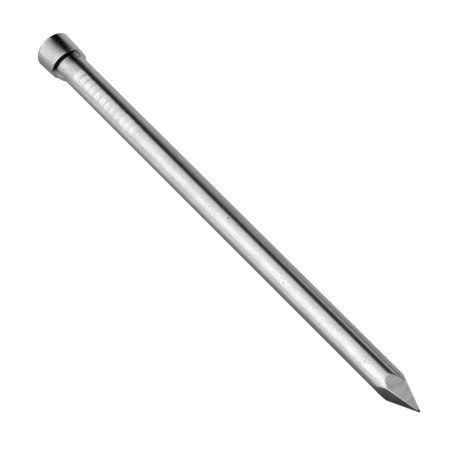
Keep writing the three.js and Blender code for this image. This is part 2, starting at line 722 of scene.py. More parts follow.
class GroupMaker:
    """Builds one shader node group with named inputs and outputs."""

    def __init__(self, name: str) -> None:
        """Starts an empty group.

        Args:
            name: The group's name.
        """
        self.tree = bpy.data.node_groups.new(name, "ShaderNodeTree")
        self._inputs = self.tree.nodes.new("NodeGroupInput")
        self._outputs = self.tree.nodes.new("NodeGroupOutput")

    def input(self, name: str, kind: str = "NodeSocketFloat", value: float | None = None) -> Socket:
        """Adds a named input.

        Args:
            name: The input's name.
            kind: The socket's type.
            value: Its value where nothing is linked.

        Returns:
            The socket that carries the input inside the group.
        """
        socket = self.tree.interface.new_socket(name=name, in_out="INPUT", socket_type=kind)
        if value is not None:
            socket.default_value = value
        return self._inputs.outputs[name]

    def output(self, name: str, source: Socket) -> None:
        """Adds a named output.

        Args:
            name: The output's name.
            source: The socket inside the group that feeds it.
        """
        self.tree.interface.new_socket(name=name, in_out="OUTPUT", socket_type="NodeSocketFloat")
        self.tree.links.new(source, self._outputs.inputs[name])

    def scaled(self, vector: Socket, along: float, across: float) -> Socket:
        """Scales a place on the wire, so that a texture is drawn out along it or round it.

        Args:
            vector: The place, along X and across Y and Z.
            along: Scale along the wire.
            across: Scale across it.

        Returns:
            The scaled place.
        """
        node = self.tree.nodes.new("ShaderNodeVectorMath")
        node.operation = "MULTIPLY"
        self.tree.links.new(vector, node.inputs[0])
        node.inputs[1].default_value = (along, across, across)
        return node.outputs["Vector"]

    def noise(self, vector: Socket, along: float, across: float, detail: float = 2.0) -> Socket:
        """Adds noise with its own scale along and across the wire.

        Args:
            vector: The place on the wire, in mm.
            along: Waves for each mm along the wire.
            across: Waves for each mm across it.
            detail: How many finer layers it has.

        Returns:
            The noise, from 0 to 1.
        """
        return add_noise(self.tree, self.scaled(vector, along, across), detail, roughness=0.55)


class SharedEffects:
    """The shader groups that more than one finish uses, each built once."""

    def __init__(self) -> None:
        """Builds every group."""
        self.draw_lines = self._draw_lines()
        self.tool_lines = self._tool_lines()
        self.specks = self._specks()
        self.clouding = self._clouding()

    @staticmethod
    def _draw_lines() -> Tree:
        """Builds the fine lines that a die leaves along the wire.

        Returns:
            A group with the outputs Height and Grain.
        """
        group = GroupMaker("draw_lines")
        vector = group.input("Vector", "NodeSocketVector")
        fine = group.noise(vector, along=0.1, across=8.0, detail=3.0)
        broad = group.noise(vector, along=0.05, across=2.0)
        grain = group.noise(vector, along=3.0, across=10.0)
        both = add_math(group.tree, "MULTIPLY_ADD", broad, 0.8, fine)
        group.output("Height", add_math(group.tree, "MULTIPLY_ADD", grain, 0.15, both))
        group.output("Grain", grain)
        return group.tree

    @staticmethod
    def _tool_lines() -> Tree:
        """Builds the short, slightly curved lines that dies and cutters leave across the wire.

        Returns:
            A group with the output Height.
        """
        group = GroupMaker("tool_lines")
        vector = group.input("Vector", "NodeSocketVector")
        bend = group.noise(vector, along=0.5, across=0.5)
        split = group.tree.nodes.new("ShaderNodeSeparateXYZ")
        group.tree.links.new(vector, split.inputs["Vector"])
        along = add_math(group.tree, "MULTIPLY_ADD", bend, 1.6, split.outputs["X"])
        join = group.tree.nodes.new("ShaderNodeCombineXYZ")
        put(group.tree, join.inputs["X"], along)
        put(group.tree, join.inputs["Y"], split.outputs["Y"])
        put(group.tree, join.inputs["Z"], split.outputs["Z"])
        fine = group.noise(join.outputs["Vector"], along=5.0, across=0.7)
        broad = group.noise(join.outputs["Vector"], along=1.6, across=0.3, detail=1.0)
        group.output("Height", add_math(group.tree, "MULTIPLY_ADD", broad, 0.6, fine))
        return group.tree

    @staticmethod
    def _specks() -> Tree:
        """Builds small dark pits, thinly and unevenly spread.

        Returns:
            A group with the output Pit.
        """
        group = GroupMaker("specks")
        vector = group.input("Vector", "NodeSocketVector")
        amount = group.input("Amount", value=0.5)
        cells = group.tree.nodes.new("ShaderNodeTexVoronoi")
        cells.inputs["Scale"].default_value = 1.0
        group.tree.links.new(group.scaled(vector, along=1.6, across=1.6), cells.inputs["Vector"])
        spread = group.noise(vector, along=0.35, across=0.6)
        share = add_ramp(group.tree, spread, low=0.40, high=0.68)
        size = add_math(group.tree, "MULTIPLY", share, amount)
        reach = add_math(group.tree, "MULTIPLY", size, 0.2)
        inside = add_math(group.tree, "SUBTRACT", reach, cells.outputs["Distance"])
        group.output("Pit", add_math(group.tree, "MULTIPLY", inside, 14.0, clamp=True))
        return group.tree

    @staticmethod
    def _clouding() -> Tree:
        """Builds the soft, uneven dulling of handled steel.

        Returns:
            A group with the output Cloud.
        """
        group = GroupMaker("clouding")
        vector = group.input("Vector", "NodeSocketVector")
        cloud = group.noise(vector, along=0.35, across=0.9, detail=4.0)
        fine = group.noise(vector, along=2.0, across=5.0, detail=3.0)
        broad = add_ramp(group.tree, cloud, low=0.3, high=0.72)
        mottle = add_ramp(group.tree, fine, low=0.3, high=0.7)
        group.output("Cloud", add_math(group.tree, "ADD", add_math(group.tree, "MULTIPLY", broad, 0.55),
                                       add_math(group.tree, "MULTIPLY", mottle, 0.45)))
        return group.tree


# ---------------------------------------------------------------------------------------------
# Finishes.
# ---------------------------------------------------------------------------------------------


@dataclass(frozen=True)
class SteelFinish:
    """Bare steel as one of the nail's tools leaves it.

    Attributes:
        name: The material's name.
        colour: Grey of the clean metal.
        dull_colour: Grey where the metal is clouded.
        worn_and_highlight_colour: Grey along the edges, for rubbing and a painted highlight.
        pit_colour: Grey inside the pits.
        painted_shade_colour: Near-black grey of the shade painted into the corner under the head.
        tool_tint: How much lighter or darker the tooling lines make the metal.
        tool_range: Heights of those lines at which the metal is darkest and lightest.
        roughness: Roughness of the clean metal.
        roughness_range: How much clouding and grain add to it.
        line_depth: Depth of the draw lines, in mm.
        tool_depth: Depth of the tooling lines, in mm.
        tool_everywhere: Whether tooling lines cover the surface, or only the dies' zone.
        pit_amount: How many small pits there are, from 0 to 1.
        pit_depth: Depth of the pits, in mm.
    """

    name: str
    colour: float = 0.69
    dull_colour: float = 0.53
    worn_and_highlight_colour: float = 0.8
    pit_colour: float = 0.05
    painted_shade_colour: float = 0.015
    tool_tint: float = 0.0
    tool_range: tuple[float, float] = (0.62, 0.98)
    roughness: float = 0.15
    roughness_range: float = 0.1
    line_depth: float = 0.0012
    tool_depth: float = 0.002
    tool_everywhere: bool = False
    pit_amount: float = 0.9
    pit_depth: float = 0.01

    def build(self, effects: SharedEffects) -> bpy.types.Material:
        """Builds the material.

        Args:
            effects: The shared shader groups.

        Returns:
            The finished material.
        """
        material = bpy.data.materials.new(self.name)
        material.use_nodes = True
        tree = material.node_tree
        shader = tree.nodes["Principled BSDF"]
        shader.inputs["Metallic"].default_value = 1.0
        place = self._attribute(tree, WIRE_SPACE).outputs["Vector"]
        wear_and_highlight = self._attribute(tree, EDGE_WEAR_AND_HIGHLIGHT).outputs["Fac"]
        lines = self._group(tree, effects.draw_lines, place)
        tools = self._group(tree, effects.tool_lines, place)
        pits = self._group(tree, effects.specks, place)
        pits.inputs["Amount"].default_value = self.pit_amount
        cloud = self._group(tree, effects.clouding, place).outputs["Cloud"]
        clean = add_mix(tree, cloud, self.colour, self.dull_colour)
        tint = (-self.tool_tint, self.tool_tint)
        streak = add_ramp(tree, tools.outputs["Height"], *self.tool_range, *tint)
        streak = add_math(tree, "ADD", streak, 1.0)
        scale = tree.nodes.new("ShaderNodeVectorMath")
        scale.operation = "SCALE"
        tree.links.new(clean, scale.inputs[0])
        tree.links.new(streak, scale.inputs["Scale"])
        # Lighter along the point's ridges and heel: rubbed edges and a painted highlight.
        worn_and_highlit = add_mix(tree, wear_and_highlight, scale.outputs["Vector"], self.worn_and_highlight_colour)
        pitted = add_mix(tree, pits.outputs["Pit"], worn_and_highlit, self.pit_colour)
        # Shade painted near black into the corner under the head.
        painted_shade = self._attribute(tree, PAINTED_SHADE).outputs["Fac"]
        tree.links.new(add_mix(tree, painted_shade, pitted, self.painted_shade_colour), shader.inputs["Base Color"])
        grain = add_math(tree, "MULTIPLY", lines.outputs["Grain"], cloud)
        rough = add_math(tree, "MULTIPLY_ADD", grain, self.roughness_range, self.roughness)
        tree.links.new(rough, shader.inputs["Roughness"])
        tooled = tools.outputs["Height"]
        if not self.tool_everywhere:
            zone = self._attribute(tree, GRIP_ZONE).outputs["Fac"]
            tooled = add_math(tree, "MULTIPLY", tooled, zone)
        normal = self._bump(tree, lines.outputs["Height"], self.line_depth)
        normal = self._bump(tree, tooled, self.tool_depth, normal)
        normal = self._bump(tree, pits.outputs["Pit"], -self.pit_depth, normal)
        tree.links.new(normal, shader.inputs["Normal"])
        return material

    @staticmethod
    def _attribute(tree: Tree, name: str) -> bpy.types.Node:
        """Reads values that the mesh carries.

        Args:
            tree: The material's node tree.
            name: The values' name.

        Returns:
            The node that gives them.
        """
        node = tree.nodes.new("ShaderNodeAttribute")
        node.attribute_name = name
        return node

    @staticmethod
    def _group(tree: Tree, group: Tree, vector: Socket) -> bpy.types.Node:
        """Places a shared group in the material.

        Args:
            tree: The material's node tree.
            group: The shared group.
            vector: The place on the wire that it reads.

        Returns:
            The group's node.
        """
        node = tree.nodes.new("ShaderNodeGroup")
        node.node_tree = group
        tree.links.new(vector, node.inputs["Vector"])
        return node

    @staticmethod
    def _bump(tree: Tree, height: Socket, depth: float, normal: Socket | None = None) -> Socket:
        """Adds a Bump node.

        Args:
            tree: The material's node tree.
            height: The height over the surface.
            depth: Height of the value 1, in mm; below zero for a hollow.
            normal: The normal of the coarser relief below it.

        Returns:
            The bent normal.
        """
        node = tree.nodes.new("ShaderNodeBump")
        node.invert = depth < 0
        node.inputs["Strength"].default_value = 1.0
        node.inputs["Distance"].default_value = abs(depth) * MM
        tree.links.new(height, node.inputs["Height"])
        if normal is not None:
            tree.links.new(normal, node.inputs["Normal"])
        return node.outputs["Normal"]


FINISHES = {
    Surface.DRAWN: SteelFinish("drawn_steel"),
    Surface.UPSET: SteelFinish("upset_steel", roughness=0.14, line_depth=0.0006, pit_amount=0.6),
    Surface.SHEARED: SteelFinish(
        "sheared_steel", colour=0.61, dull_colour=0.53, worn_and_highlight_colour=0.95, roughness=0.2, tool_depth=0.014,
        tool_tint=0.12, tool_everywhere=True, pit_amount=0.3,
    ),
    Surface.PINCHED: SteelFinish(
        "pinched_steel", colour=0.11, dull_colour=0.07, worn_and_highlight_colour=0.08, roughness=0.34, pit_amount=0.0,
    ),
}


# ---------------------------------------------------------------------------------------------
# The whole nail.
# ---------------------------------------------------------------------------------------------


@dataclass(frozen=True)
class Seat:
    """Where the nail lies: its own axes, in the frame.

    Attributes:
        origin: The wire's axis at the struck face, in metres.
        along: The wire's direction, from head to point.
        side: The direction of roll 0.
        up: The direction of roll 90.
    """

    origin: Vector
    along: Vector
    side: Vector
    up: Vector

    @classmethod
    def from_record(cls, record: dict) -> "Seat":
        """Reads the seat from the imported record's striking face.

        Args:
            record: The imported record.

        Returns:
            The nail's seat.
        """
        face = next(m for m in record["mounts"] if m["name"] == "striking_face")
        along = -Vector(face["axis"]).normalized()
        side = Vector((0.0, 1.0, 0.0))
        return cls(Vector(face["pos_m"]), along, side, along.cross(side))

    def to_frame(self, points: Array) -> Array:
        """Turns places along the nail's own axes, in mm, into the frame's metres."""
        axes = np.array([self.along, self.side, self.up])
        return np.array(self.origin) + (points * MM) @ axes

    def on_axis(self, station: float) -> Vector:
        """Gives the place on the wire's axis at a station, in metres."""
        return self.origin + self.along * station * MM


@dataclass
class Nail:
    """The nail as one closed skin of rings and columns.

    Attributes:
        head: The upset head.
        underside: The underside of the head and its collar.
        grips: The gripping dies' marks.
        shank: The drawn wire.
        point: The diamond point.
        neck_rows: Rings of plain wire between the collar and the grip marks.
        waver_from: From how near to how far below the collar the drawn surface starts to
            waver, in mm.
        blend_end: How far before the first heel the mesh winds fully round the point's middle,
            in mm.
        wear_and_highlight_before: How far before the heel its rubbing and painted highlight start, in mm.
    """

    head: Head = field(default_factory=Head)
    underside: Underside = field(default_factory=Underside)
    grips: GripMarks = field(default_factory=GripMarks)
    shank: Shank = field(default_factory=Shank)
    point: Point = field(default_factory=Point)
    neck_rows: int = 16
    waver_from: tuple[float, float] = (1.0, 1.6)
    blend_end: float = 1.0
    wear_and_highlight_before: float = 0.1

    def build(self, seat: Seat, effects: SharedEffects) -> bpy.types.Object:
        """Builds and dresses the nail.

        Args:
            seat: Where the nail lies in the frame.
            effects: The shared shader groups.

        Returns:
            The nail's object.
        """
        rolls = self.point.columns()
        wire_station, wire_radius, painted_shade, surfaces = self._wire_rows(rolls)
        point_station, point_surfaces = self._point_rows(rolls)
        plain = np.full(point_station.shape, self.shank.radius)
        station = np.vstack([wire_station, point_station])
        radius = np.vstack([wire_radius, plain])
        local = self._place(station, radius, rolls)
        piece = self._mesh(local, station, rolls, surfaces + point_surfaces, seat, effects)
        # Only the rings of the head carry painted shade; the rest of the mesh gets none.
        clean = np.zeros(local.shape[0] * local.shape[1] + 2 - painted_shade.size)
        self._carry(piece.data, PAINTED_SHADE, "FLOAT", np.append(painted_shade.ravel(), clean))
        return piece

    @property
    def _meet(self) -> float:
        """Gives the station where the point's faces would meet, in mm."""
        return self.shank.length + self.point.overshoot

    def _heel(self, rolls: Array) -> Array:
        """Works out where each column runs onto a face of the point.

        Args:
            rolls: The mesh's columns, in degrees.

        Returns:
            The columns' stations there, in mm.
        """
        uncut = np.full(rolls.shape, self.shank.radius)
        wire = self._off_centre(uncut, rolls, self.point.off_centre)
        return self._meet - wire / self.point.spread(rolls)

    def _wire_rows(self, rolls: Array) -> tuple[Array, Array, Array, list[Surface]]:
        """Gives every ring from the struck face to just before the point.

        Args:
            rolls: The mesh's columns, in degrees.

        Returns:
            Stations and radii, one row for each ring, the shade painted under the head, and each ring's
            surface.
        """
        outline = self.head.profile() + self.underside.profile(self.head, self.shank)
        surfaces = [Surface.UPSET] * len(outline)
        base, size = (np.array(c)[:, None] for c in zip(*outline))
        roll = rolls[None, :]
        # Shade painted into the corner under the head, one value for each place.
        painted_shade = self.underside.painted_shade(base, roll, self.head)
        station, radius = self.underside.shape(base, size + 0 * roll, roll, self.head, self.shank)
        last = station[-1]
        share = np.linspace(0, 1, self.neck_rows + 1)[1:-1, None]
        neck = last + (self.grips.start - last) * share
        before_heel = self._heel(rolls).min() + self.point.HEEL_ROWS[0] - self.shank.row_pitch
        rest = np.concatenate([self.grips.rows(), self.shank.rows(self.grips.end, before_heel)[1:]])
        rest = np.vstack([neck, rest[:, None] + 0 * roll])
        surfaces += [Surface.DRAWN] * len(rest)
        station = np.vstack([station + 0 * roll, rest])
        radius = np.vstack([radius, np.full(rest.shape, self.shank.radius)])
        return station, radius, painted_shade, surfaces

    def _point_rows(self, rolls: Array) -> tuple[Array, list[Surface]]:
        """Gives every ring from the point's heel to its blunt end.

        Args:
            rolls: The mesh's columns, in degrees.

        Returns:
            Stations, one row for each ring, and each ring's surface.
        """
        offsets = np.array(self.point.HEEL_ROWS)[:, None]
        heel = self._heel(rolls)[None, :]
        first = heel + offsets
        share = np.linspace(0, 1, self.point.face_rows)[1:, None]
        rest = first[-1] + (self.shank.length - first[-1]) * share
        station = np.vstack([first, rest])
        surfaces = [Surface.DRAWN if offset < 0 else Surface.SHEARED for offset in self.point.HEEL_ROWS]
        pinched = self.shank.length - self.point.pinched_length
        surfaces += [Surface.PINCHED if row.mean() > pinched else Surface.SHEARED for row in rest]
        return station, surfaces

    def _off_centre(self, radius: Array, rolls: Array, pull: float | Array) -> Array:
        """Gives the round wire's radius from a place between its axis and the point's middle.

        Args:
            radius: The wire's radius from its own axis, in mm.
            rolls: Rolls round the place, in degrees.
            pull: How far the place stands from the wire's axis, in mm.

        Returns:
            Distances from the place to the wire's surface, in mm.
        """
        ahead = pull * np.cos(np.radians(rolls - self.point.off_centre_roll))
        return np.sqrt(radius**2 - pull**2 + ahead**2) - ahead

    def _place(self, station: Array, radius: Array, rolls: Array) -> Array:
        """Turns rings and columns into places along the nail's own axes.

        Args:
            station: Stations, one row for each ring, in mm.
            radius: Radii of the uncut wire and head, in mm.
            rolls: The mesh's columns, in degrees.

        Returns:
            Places as X along the wire, and Y and Z across it, in mm.
        """
        roll = rolls[None, :]
        neck = self.underside.collar_end(self.head)
        bare = smooth_step(station, neck + self.waver_from[0], neck + self.waver_from[1])
        sink = self.grips.sink(station, roll) + bare * self.shank.sink(station, roll)
        blend_end = self._heel(rolls).min() - self.blend_end
        pull = self.point.off_centre * smooth_step(station, self.point.blend_start, blend_end)
        wire = self._off_centre(radius - sink, roll, pull)
        cut = self.point.trim(station, roll, wire, self._meet)
        beside = self.head.beside(station, neck, self.underside.blend)
        head_way = direction(self.head.off_centre_roll)
        point_way = direction(self.point.off_centre_roll)
        turn = np.radians(roll)
        y = cut * np.cos(turn) + beside * head_way[0] + pull * point_way[0]
        z = cut * np.sin(turn) + beside * head_way[1] + pull * point_way[1]
        return np.stack([station, y, z], axis=-1)

    def _mesh(self, local: Array, station: Array, rolls: Array, surfaces: list[Surface], seat: Seat,
              effects: SharedEffects) -> bpy.types.Object:
        """Joins the rings into one closed mesh and gives it its materials.

        Args:
            local: Places along the nail's own axes, in mm.
            station: Stations of the same places, in mm.
            rolls: The mesh's columns, in degrees.
            surfaces: Each ring's surface.
            seat: Where the nail lies in the frame.
            effects: The shared shader groups.

        Returns:
            The nail's object.
        """
        rows, columns = local.shape[:2]
        ends = np.array([local[0].mean(axis=0), local[-1].mean(axis=0)])
        ends[0, 0] = self.head.face_dish
        points = np.vstack([local.reshape(-1, 3), ends])
        faces, slots = self._faces(rows, columns, surfaces)
        mesh = bpy.data.meshes.new("nail_body")
        mesh.from_pydata(seat.to_frame(points).tolist(), [], faces)
        mesh.polygons.foreach_set("material_index", slots)
        mesh.polygons.foreach_set("use_smooth", [True] * len(faces))
        zone = np.append(self.grips.zone(station, rolls[None, :]).ravel(), [0.0, 0.0])
        self._carry(mesh, WIRE_SPACE, "FLOAT_VECTOR", points)
        self._carry(mesh, EDGE_WEAR_AND_HIGHLIGHT, "FLOAT", self._wear_and_highlight(local, rolls))
        self._carry(mesh, GRIP_ZONE, "FLOAT", zone)
        for surface in Surface:
            mesh.materials.append(FINISHES[surface].build(effects))
        mesh.validate()
        piece = bpy.data.objects.new("nail_body", mesh)
        bpy.context.scene.collection.objects.link(piece)
        return piece

    @staticmethod
    def _faces(rows: int, columns: int, surfaces: list[Surface]) -> tuple[list[tuple[int, ...]], list[int]]:
        """Lists the mesh's faces.

        Args:
            rows: Number of rings.
            columns: Number of columns.
            surfaces: Each ring's surface.

        Returns:
            The faces, and each one's material slot.
        """
        faces, slots = [], []
        first, last = rows * columns, rows * columns + 1
        for j in range(columns):
            after = (j + 1) % columns
            faces.append((first, j, after))
            slots.append(surfaces[0].value)
        for i in range(rows - 1):
            here, below = i * columns, (i + 1) * columns
            for j in range(columns):
                after = (j + 1) % columns
                faces.append((here + j, below + j, below + after, here + after))
                slots.append(surfaces[i].value)
        end = (rows - 1) * columns
        for j in range(columns):
            after = (j + 1) % columns
            faces.append((end + j, last, end + after))
            slots.append(surfaces[-1].value)
        return faces, slots

    def _wear_and_highlight(self, local: Array, rolls: Array) -> Array:
        """Gives how much each place along the point's ridges and heel is lightened, for rubbing and a painted
        highlight.

        Args:
            local: Places along the nail's own axes, in mm.
            rolls: The mesh's columns, in degrees.

        Returns:
            Values from 0 to 1, one for each point.
        """
        wear_and_highlight = np.zeros(local.shape[:2])
        heel = len(local) - self.point.face_rows + 1 - len(self.point.HEEL_ROWS)
        edge = self._heel(rolls)
        wear_and_highlight[heel:] = smooth_step(local[heel:, :, 0], edge - self.wear_and_highlight_before, edge)
        wear_and_highlight[heel:] *= self.point.ridge_mask(rolls)[None, :]
        # The heel's crest ring gets the full painted highlight and rubbing.
        crest = heel + self.point.HEEL_ROWS.index(0.0)
        wear_and_highlight[crest] = 1.0
        return np.concatenate([wear_and_highlight.ravel(), [0.0, 0.0]])

    @staticmethod
    def _carry(mesh: bpy.types.Mesh, name: str, kind: str, values: Array) -> None:
        """Stores values on the mesh's points for the materials to read.

        Args:
            mesh: The mesh.
            name: The values' name.
            kind: FLOAT or FLOAT_VECTOR.
            values: One value or vector for each point.
        """
        made = mesh.attributes.new(name, kind, "POINT")
        key = "vector" if kind == "FLOAT_VECTOR" else "value"
        made.data.foreach_set(key, np.asarray(values, np.float32).ravel())


# ---------------------------------------------------------------------------------------------
# The set.
# ---------------------------------------------------------------------------------------------


@dataclass(frozen=True)
class TentPanel:
    """One soft-edged panel of the light tent, running along the nail.

    Attributes:
        brightness: Its brightness; below zero where it takes light away, as a black flag does.
        roll_from: Roll where it starts, in degrees.
        roll_to: Roll where it ends, in degrees.
        edge: Width of its soft edges, in degrees.
        x_from: Where it starts along the nail, as the direction's X.
        x_to: Where it ends.
        x_edge: Width of its soft ends.
    """

    brightness: float
    roll_from: float
    roll_to: float
    edge: float
    x_from: float = -2.0
    x_to: float = 2.0
    x_edge: float = 0.1


@dataclass(frozen=True)
class HeadCard:
    """A grey card curved over the head, which shows only in the metal's reflections.

    Round the wire it goes from a grey first edge through a black band to a pale part. The band is
    narrower towards the end of the card that is away from the nail.

    Attributes:
        radius: Distance from the wire's axis, in mm.
        x_from: Where it starts along the nail, in mm.
        x_to: Where it ends, in mm.
        roll_from: Roll where it starts, in degrees.
        roll_to: Roll where it ends, in degrees.
        columns: Number of flat strips it is made of.
        widening: From where to where along the nail the black band widens, in mm.
        shares: Share of the brightness before and after that.
        edge_rolls: From where to where the first edge darkens to black, in degrees.
        edge_glow: Brightness of the first edge.
        pale_starts: Roll where the pale part starts, before and after the band widens, in degrees.
        pale_rise: Width of its soft edge, in degrees.
        pale_glow: Its brightness.
        paler_rolls: From where to where it gets paler still, in degrees.
        paler_glow: How much paler it gets.
    """

    radius: float = 25.0
    x_from: float = -140.0
    x_to: float = -40.9
    roll_from: float = 30.0
    roll_to: float = 178.0
    columns: int = 40
    widening: tuple[float, float] = (-45.5, -41.5)
    shares: tuple[float, float] = (1.2, 0.84)
    edge_rolls: tuple[float, float] = (28.0, 46.0)
    edge_glow: float = 0.25
    pale_starts: tuple[float, float] = (70.0, 86.0)
    pale_rise: float = 28.0
    pale_glow: float = 0.56
    paler_rolls: tuple[float, float] = (100.0, 140.0)
    paler_glow: float = 0.47

    def build(self) -> bpy.types.Object:
        """Builds the card and hides it from the camera and from diffuse light.

        Returns:
            The card's object.
        """
        points, faces = [], []
        for i, roll in enumerate(np.linspace(self.roll_from, self.roll_to, self.columns + 1)):
            y, z = direction(roll) * self.radius * MM
            points += [(self.x_from * MM, y, z), (self.x_to * MM, y, z)]
            if i:
                faces.append((2 * i - 2, 2 * i - 1, 2 * i + 1, 2 * i))
        mesh = bpy.data.meshes.new("head_card")
        mesh.from_pydata(points, [], faces)
        mesh.materials.append(self._material())
        card = bpy.data.objects.new("head_card", mesh)
        bpy.context.scene.collection.objects.link(card)
        card.visible_camera = False
        card.visible_diffuse = False
        return card

    def _material(self) -> bpy.types.Material:
        """Builds the card's material: black in a band beside the head and pale above it.

        Returns:
            The finished material.
        """
        material = bpy.data.materials.new("head_card")
        material.use_nodes = True
        tree = material.node_tree
        place = tree.nodes.new("ShaderNodeNewGeometry")
        split = tree.nodes.new("ShaderNodeSeparateXYZ")
        tree.links.new(place.outputs["Position"], split.inputs["Vector"])
        turn = add_math(tree, "ARCTAN2", split.outputs["Z"], split.outputs["Y"])
        roll = add_math(tree, "MULTIPLY", turn, 180 / math.pi)
        widening = [x * MM for x in self.widening]
        edge = add_ramp(tree, roll, *self.edge_rolls, self.edge_glow, 0.0)
        start = add_ramp(tree, split.outputs["X"], *widening, *self.pale_starts)
        end = add_math(tree, "ADD", start, self.pale_rise)
        pale = add_ramp(tree, roll, start, end, 0.0, self.pale_glow)
        paler = add_ramp(tree, roll, *self.paler_rolls, 0.0, self.paler_glow)
        glow = tree.nodes.new("ShaderNodeEmission")
        total = add_math(tree, "ADD", edge, add_math(tree, "ADD", pale, paler))
        share = add_ramp(tree, split.outputs["X"], *widening, *self.shares)
        tree.links.new(add_math(tree, "MULTIPLY", total, share), glow.inputs["Strength"])
        tree.links.new(glow.outputs["Emission"], tree.nodes["Material Output"].inputs["Surface"])
        return material


@dataclass(frozen=True)
class Studio:
    """The camera, the floor and the soft light round the nail.

    Attributes:
        azimuth: Camera's direction round the nail, in degrees.
        elevation: Camera's height above the floor, in degrees.
        distance: From the camera to what it aims at, in mm.
        lens: Focal length, in mm.
        aim_right: How far to the right of the nail's middle the camera aims, in mm.
        aim_up: How far above it, in mm.
        floor_half: Half the width of the floor, in metres.
        floor_colour: Grey of the floor.
        floor_glow: How much light the floor gives off by itself.
        foot_glow: Brightness beside the nail's foot at the head and before the point, and how much
            of it is lost under the point.
        foot_fade: From where to where along the nail it is lost, in mm.
        foot_even: How far before the blunt end the foot's brightness stops changing, in mm.
        open_glow: Brightness of the open floor on the camera's side.
        shade_reach: Reach of the painted shade on the camera's side, near and far, and far near the point, in
            mm.
        shade_span: From where to where along the nail that reach grows, in mm.
        head_reach: How much further the floor is shaded beside the head, in mm.
        head_span: From where to where along the nail that ends, in mm.
        far_reach: The same on the other side, in mm.
        far_glow: Brightness there, near and far.
        foot_seam: Half the width of the soft change from one side to the other, in mm.
        end_glow: Brightness beyond the nail's two ends.
        end_reach: From how near to how far beyond them the floor turns to it, in mm.
        panels: The panels of the light tent.
    """

    azimuth: float = 51.7
    elevation: float = 51.08
    distance: float = 334.0
    lens: float = 237.9
    aim_right: float = 0.26
    aim_up: float = -0.93
    floor_half: float = 4.0
    floor_colour: float = 0.5
    floor_glow: float = 0.92
    foot_glow: tuple[float, float, float] = (0.28, 0.18, 0.115)
    foot_fade: tuple[float, float] = (24.8, 27.0)
    foot_even: float = 7.0
    open_glow: float = 0.95
    shade_reach: tuple[float, float, float] = (1.3, 8.3, 11.0)
    shade_span: tuple[float, float] = (-5.0, 25.0)
    head_reach: float = 8.0
    head_span: tuple[float, float] = (-31.5, -29.0)
    far_reach: tuple[float, float] = (1.2, 5.0)
    far_glow: tuple[float, float] = (0.05, 0.46)
    foot_seam: float = 0.3
    end_glow: float = 0.62
    end_reach: tuple[float, float] = (0.5, 9.0)
    panels: tuple[TentPanel, ...] = (
        TentPanel(brightness=0.50, roll_from=-90, roll_to=32, edge=18, x_to=-0.495, x_edge=0.1),
        TentPanel(brightness=0.21, roll_from=-90, roll_to=47, edge=6, x_from=-0.495, x_edge=0.1),
        TentPanel(brightness=0.22, roll_from=-90, roll_to=6, edge=28, x_from=-0.495, x_edge=0.1),
        TentPanel(brightness=0.40, roll_from=30, roll_to=43, edge=5, x_from=-0.455, x_edge=0.05),
        TentPanel(brightness=0.03, roll_from=-90, roll_to=90, edge=10, x_from=-0.50, x_edge=0.06),
        TentPanel(brightness=0.10, roll_from=38, roll_to=58, edge=12, x_from=-0.515, x_to=-0.46, x_edge=0.03),
        TentPanel(brightness=0.55, roll_from=80, roll_to=270, edge=22),
        TentPanel(brightness=0.42, roll_from=80, roll_to=270, edge=22, x_to=-0.15, x_edge=0.7),
        TentPanel(brightness=-0.35, roll_from=80, roll_to=270, edge=22, x_to=-0.82, x_edge=0.2),
        TentPanel(brightness=0.41, roll_from=120, roll_to=168, edge=40, x_from=-0.64, x_edge=0.14),
        TentPanel(
            brightness=0.20, roll_from=105, roll_to=172, edge=30, x_from=-0.47, x_to=-0.15, x_edge=0.16,
        ),
    )

    def build(self, seat: Seat, nail: Nail) -> None:
        """Sets everything up round the nail.

        Args:
            seat: Where the nail lies.
            nail: The nail.
        """
        self._camera(seat.on_axis(nail.shank.length / 2))
        self._floor(nail.shank.length / 2)
        self._light()
        HeadCard().build()

    def _camera(self, middle: Vector) -> None:
        """Places the camera.

        Args:
            middle: The middle of the nail's axis.
        """
        turn, rise = math.radians(self.azimuth), math.radians(self.elevation)
        back = Vector((
            math.sin(turn) * math.cos(rise),
            -math.cos(turn) * math.cos(rise),
            math.sin(rise),
        ))
        right = Vector((math.cos(turn), math.sin(turn), 0.0))
        up = back.cross(right)
        data = bpy.data.cameras.new("camera")
        data.lens = self.lens
        data.clip_start = 0.01
        data.clip_end = 20.0
        camera = bpy.data.objects.new("camera", data)
        target = middle + (right * self.aim_right + up * self.aim_up) * MM
        camera.location = target + back * self.distance * MM
        camera.rotation_mode = "QUATERNION"
        camera.rotation_quaternion = (-back).to_track_quat("-Z", "Y")
        bpy.context.scene.collection.objects.link(camera)
        bpy.context.scene.camera = camera

    def _floor(self, half_length: float) -> None:
        """Lays a plain pale floor.

        The camera sees it white. The nail sees shade painted on it towards its foot, as a black flag beside
        it would cast, which gives the bright metal its dark edges.

        Args:
            half_length: Half the nail's length, in mm.
        """
        half = self.floor_half
        mesh = bpy.data.meshes.new("floor")
        corners = [(-half, -half, 0), (half, -half, 0), (half, half, 0), (-half, half, 0)]
        mesh.from_pydata(corners, [], [(0, 1, 2, 3)])
        floor = bpy.data.objects.new("floor", mesh)
        material = bpy.data.materials.new("pale_floor")
        material.use_nodes = True
        tree = material.node_tree
        shader = tree.nodes["Principled BSDF"]
        shader.inputs["Base Color"].default_value = (self.floor_colour,) * 3 + (1.0,)
        shader.inputs["Roughness"].default_value = 0.9
        shader.inputs["Specular IOR Level"].default_value = 0.1
        shader.inputs["Emission Color"].default_value = (1.0, 1.0, 1.0, 1.0)
        shader.inputs["Emission Strength"].default_value = self.floor_glow
        shaded = tree.nodes.new("ShaderNodeEmission")
